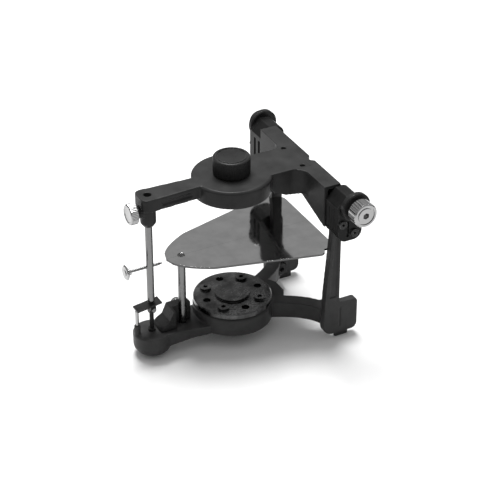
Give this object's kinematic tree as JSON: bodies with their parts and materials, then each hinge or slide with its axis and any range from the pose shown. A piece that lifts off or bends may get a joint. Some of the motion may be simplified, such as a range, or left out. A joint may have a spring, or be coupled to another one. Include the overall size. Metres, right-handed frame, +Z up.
{
  "type": "dental articulator",
  "caption": "Dental articulator with upper and lower members hinged at condylar guides, an incisal pin and tilting table, mounting plates and an adjustable occlusal plane plate.",
  "frame": {"origin": "on the bench, in the plane of symmetry, halfway between the front of the pointer knob and the backs of the heels; the condylar hinge axis is 60 mm behind it and 116 mm above it", "axes": "+Z up, -Y to the front (the incisal side), +X to the side with the tall lock knob; x = 0 is the plane of symmetry"},
  "size_m": [0.1527, 0.153, 0.1373],
  "materials": {
    "black_casting": "satin black coating on a metal casting, slightly worn at the edges",
    "black_satin": "black anodised, satin",
    "rubber": "matt",
    "dark_screw": "blackened, satin",
    "chrome": "polished",
    "steel_rod": "ground",
    "plate_metal": "polished, reflective",
    "mounting_plate_metal": "grey anodised, satin",
    "nylon": "natural nylon"
  },
  "bodies": {
    "lower_member": {"lower_frame": "black_casting", "front_foot_pad": "rubber", "heel_pads": "rubber", "left_post": "black_casting", "right_post": "black_casting", "post_screws": "dark_screw", "left_condyle": "chrome", "right_condyle": "chrome", "lower_mounting_plate": "mounting_plate_metal", "incisal_table_stem": "black_satin", "table_hinge_pin": "steel_rod", "rod_socket": "black_satin"},
    "mounting_nut": {"lower_mounting_nut": "black_satin"},
    "incisal_table": {"incisal_table": "black_satin"},
    "adjusting_screw": {"table_adjusting_screw": "chrome"},
    "set_screw": {"rod_set_screw": "chrome"},
    "plane_plate": {"support_rod": "steel_rod", "occlusal_plate": "plate_metal", "plate_screw": "dark_screw"},
    "sliders": {"condylar_sliders": "nylon"},
    "upper_member": {"upper_frame": "black_casting", "left_housing": "black_casting", "right_housing": "black_casting", "left_housing_cap": "black_satin", "right_housing_cap": "black_satin", "cap_screws": "dark_screw", "left_dial": "black_satin", "right_dial": "black_satin", "upper_mounting_stud": "steel_rod", "upper_mounting_plate": "mounting_plate_metal"},
    "left_knob": {"left_lock_knob": "black_satin"},
    "right_knob": {"right_lock_knob": "chrome"},
    "mounting_knob": {"upper_mounting_knob": "black_satin"},
    "clamp_screw": {"pin_clamp_screw": "chrome"},
    "incisal_pin": {"incisal_pin": "steel_rod"},
    "pointer": {"pointer_rod": "steel_rod", "pointer_knob": "chrome"}
  },
  "joints": [
    {"name": "condylar_hinge", "type": "hinge", "parent": "lower_member", "child": "sliders", "pos_m": [0, 0.06, 0.116], "axis": [-1, 0, 0], "range_deg": [0, 95]},
    {"name": "condylar_slide", "type": "slide", "parent": "sliders", "child": "upper_member", "axis": [0, 0.866, 0.5], "range_m": [0, 0.003]},
    {"name": "left_knob_turn", "type": "hinge", "parent": "upper_member", "child": "left_knob", "pos_m": [-0.068, 0.06, 0.116], "axis": [-1, 0, 0], "continuous": true},
    {"name": "right_knob_turn", "type": "hinge", "parent": "upper_member", "child": "right_knob", "pos_m": [0.072, 0.06, 0.116], "axis": [1, 0, 0], "continuous": true},
    {"name": "mounting_knob_turn", "type": "hinge", "parent": "upper_member", "child": "mounting_knob", "pos_m": [0, 0.003, 0.13], "axis": [0, 0, 1], "continuous": true},
    {"name": "clamp_screw_turn", "type": "hinge", "parent": "upper_member", "child": "clamp_screw", "pos_m": [0, -0.07, 0.1125], "axis": [0, -1, 0], "continuous": true},
    {"name": "incisal_pin_slide", "type": "slide", "parent": "upper_member", "child": "incisal_pin", "axis": [0, 0, 1], "range_m": [0, 0.012]},
    {"name": "pointer_slide", "type": "slide", "parent": "incisal_pin", "child": "pointer", "axis": [0, 1, 0], "range_m": [-0.006, 0.0015]},
    {"name": "mounting_nut_turn", "type": "hinge", "parent": "lower_member", "child": "mounting_nut", "pos_m": [0, 0.003, 0.009], "axis": [0, 0, -1], "continuous": true},
    {"name": "table_tilt", "type": "hinge", "parent": "lower_member", "child": "incisal_table", "pos_m": [0, -0.058, 0.0365], "axis": [1, 0, 0], "range_deg": [-8, 6]},
    {"name": "adjusting_screw_slide", "type": "slide", "parent": "lower_member", "child": "adjusting_screw", "axis": [0, 0, 1], "range_m": [-0.00112, 0.00149]},
    {"name": "set_screw_turn", "type": "hinge", "parent": "lower_member", "child": "set_screw", "pos_m": [-0.006, -0.035, 0.027], "axis": [-1, 0, 0], "continuous": true},
    {"name": "plate_height_slide", "type": "slide", "parent": "lower_member", "child": "plane_plate", "axis": [0, 0, 1], "range_m": [-0.004, 0.008]}
  ],
  "couplings": [
    {"joint": "table_tilt", "follows": "adjusting_screw_slide", "rad_per_m": -93.46}
  ]
}
